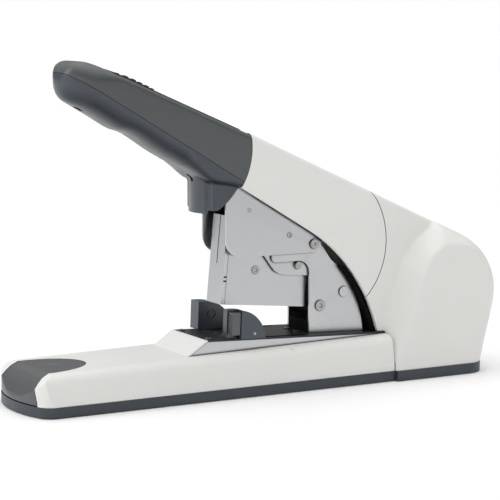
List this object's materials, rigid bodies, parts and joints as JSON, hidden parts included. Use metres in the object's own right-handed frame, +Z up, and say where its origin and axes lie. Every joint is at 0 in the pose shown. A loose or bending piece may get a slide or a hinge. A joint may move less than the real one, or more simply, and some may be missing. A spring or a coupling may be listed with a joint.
{
  "type": "long-arm heavy-duty desk stapler",
  "caption": "Long-arm lever stapler for thick stacks: sprung handle over a hinged magazine, sliding paper guides on a steel platform, and a low plastic base with a thumb pad.",
  "frame": {"origin": "On the table, under the middle of the stapler's bounding box.", "axes": "+X runs from the thumb pad at the front to the rear housing, Y is across, +Z is up."},
  "size_m": [0.302, 0.07, 0.1908],
  "materials": {
    "light_plastic": "fine-textured warm light grey moulding",
    "dark_plastic": "satin dark grey moulding",
    "grip_plastic": "satin dark grey moulding",
    "slate_plastic": "satin bluish dark grey moulding",
    "rim_plastic": "satin dark blue-grey moulding",
    "black_plastic": "matte black moulding",
    "rubber": "matte soft rubber",
    "sheet_steel": "zinc-plated sheet steel",
    "tool_steel": "ground and plated steel",
    "ramp_steel": "white enamelled steel",
    "black_steel": "satin black enamelled steel",
    "spring_steel": "drawn spring wire",
    "staple_wire": "bright galvanised wire"
  },
  "bodies": {
    "base": {"sole": "rim_plastic", "rubber_feet": "rubber", "base_screws": "sheet_steel", "base_cover": "light_plastic", "front_cap": "dark_plastic", "rear_housing": "light_plastic", "inner_shroud": "black_plastic", "chassis_plate": "sheet_steel", "platform_frame": "sheet_steel", "platform_plate": "black_steel", "platform_screws": "sheet_steel", "anvil": "tool_steel", "front_ramp": "ramp_steel", "tower_left": "sheet_steel", "tower_right": "sheet_steel", "tower_web": "black_plastic", "tower_spacers": "tool_steel", "tower_rivets": "sheet_steel", "lever_pivot_pin": "tool_steel", "magazine_pivot_pin": "tool_steel", "return_spring": "spring_steel"},
    "handle": {"handle_top_shell": "grip_plastic", "handle_bottom_shell": "slate_plastic", "handle_cover": "light_plastic", "grip_insert": "rubber", "lever_left": "sheet_steel", "lever_right": "sheet_steel", "lever_bridge": "sheet_steel", "lever_tie_pin": "tool_steel", "drive_roller": "tool_steel", "roller_pin": "tool_steel", "handle_screws": "sheet_steel", "cover_screws": "sheet_steel"},
    "magazine": {"magazine_housing": "sheet_steel", "front_plate": "sheet_steel", "arm_left": "sheet_steel", "arm_right": "sheet_steel", "magazine_rivets": "tool_steel", "stop_pin": "tool_steel", "pivot_block": "black_plastic", "staple_rail": "sheet_steel", "staple_strip": "staple_wire", "pusher_rod": "tool_steel", "driver_spring": "spring_steel", "pusher_spring": "spring_steel"},
    "driver": {"driver_blade": "tool_steel", "driver_head": "black_plastic"},
    "pusher": {"staple_pusher": "black_plastic"},
    "guides": {"guide_left": "slate_plastic", "guide_right": "slate_plastic", "guide_carriage": "sheet_steel", "guide_screws": "sheet_steel", "release_pin": "tool_steel", "release_spring": "spring_steel"},
    "release": {"release_lever": "dark_plastic"}
  },
  "joints": [
    {"name": "handle_press", "type": "hinge", "parent": "base", "child": "handle", "pos_m": [0.0307, 0, 0.0815], "axis": [0, -1, 0], "range_deg": [0, 27], "stiffness_Nm_per_rad": 0.9, "springref_deg": -28.65},
    {"name": "magazine_swing", "type": "hinge", "parent": "base", "child": "magazine", "pos_m": [0.036, 0, 0.045], "axis": [0, -1, 0], "range_deg": [0, 15]},
    {"name": "driver_slide", "type": "slide", "parent": "magazine", "child": "driver", "axis": [-0.0958, 0, -0.9954], "range_m": [0, 0.0085], "deforming": ["driver_spring"]},
    {"name": "pusher_slide", "type": "slide", "parent": "magazine", "child": "pusher", "axis": [0.9954, 0, -0.0958], "range_m": [0, 0.012], "stiffness_N_per_m": 30, "springref_m": -0.01, "deforming": ["pusher_spring"]},
    {"name": "guide_slide", "type": "slide", "parent": "base", "child": "guides", "axis": [0.9992, 0, -0.0401], "range_m": [0, 0.034]},
    {"name": "release_press", "type": "hinge", "parent": "guides", "child": "release", "pos_m": [-0.0137, -0.0208, 0.03441], "axis": [0, -1, 0], "range_deg": [0, 6], "stiffness_Nm_per_rad": 0.002, "springref_deg": -11.46, "deforming": ["release_spring"]}
  ],
  "couplings": [
    {"joint": "magazine_swing", "follows": "handle_press", "ratio": 0.55556},
    {"joint": "driver_slide", "follows": "handle_press", "m_per_rad": 0.018036}
  ]
}
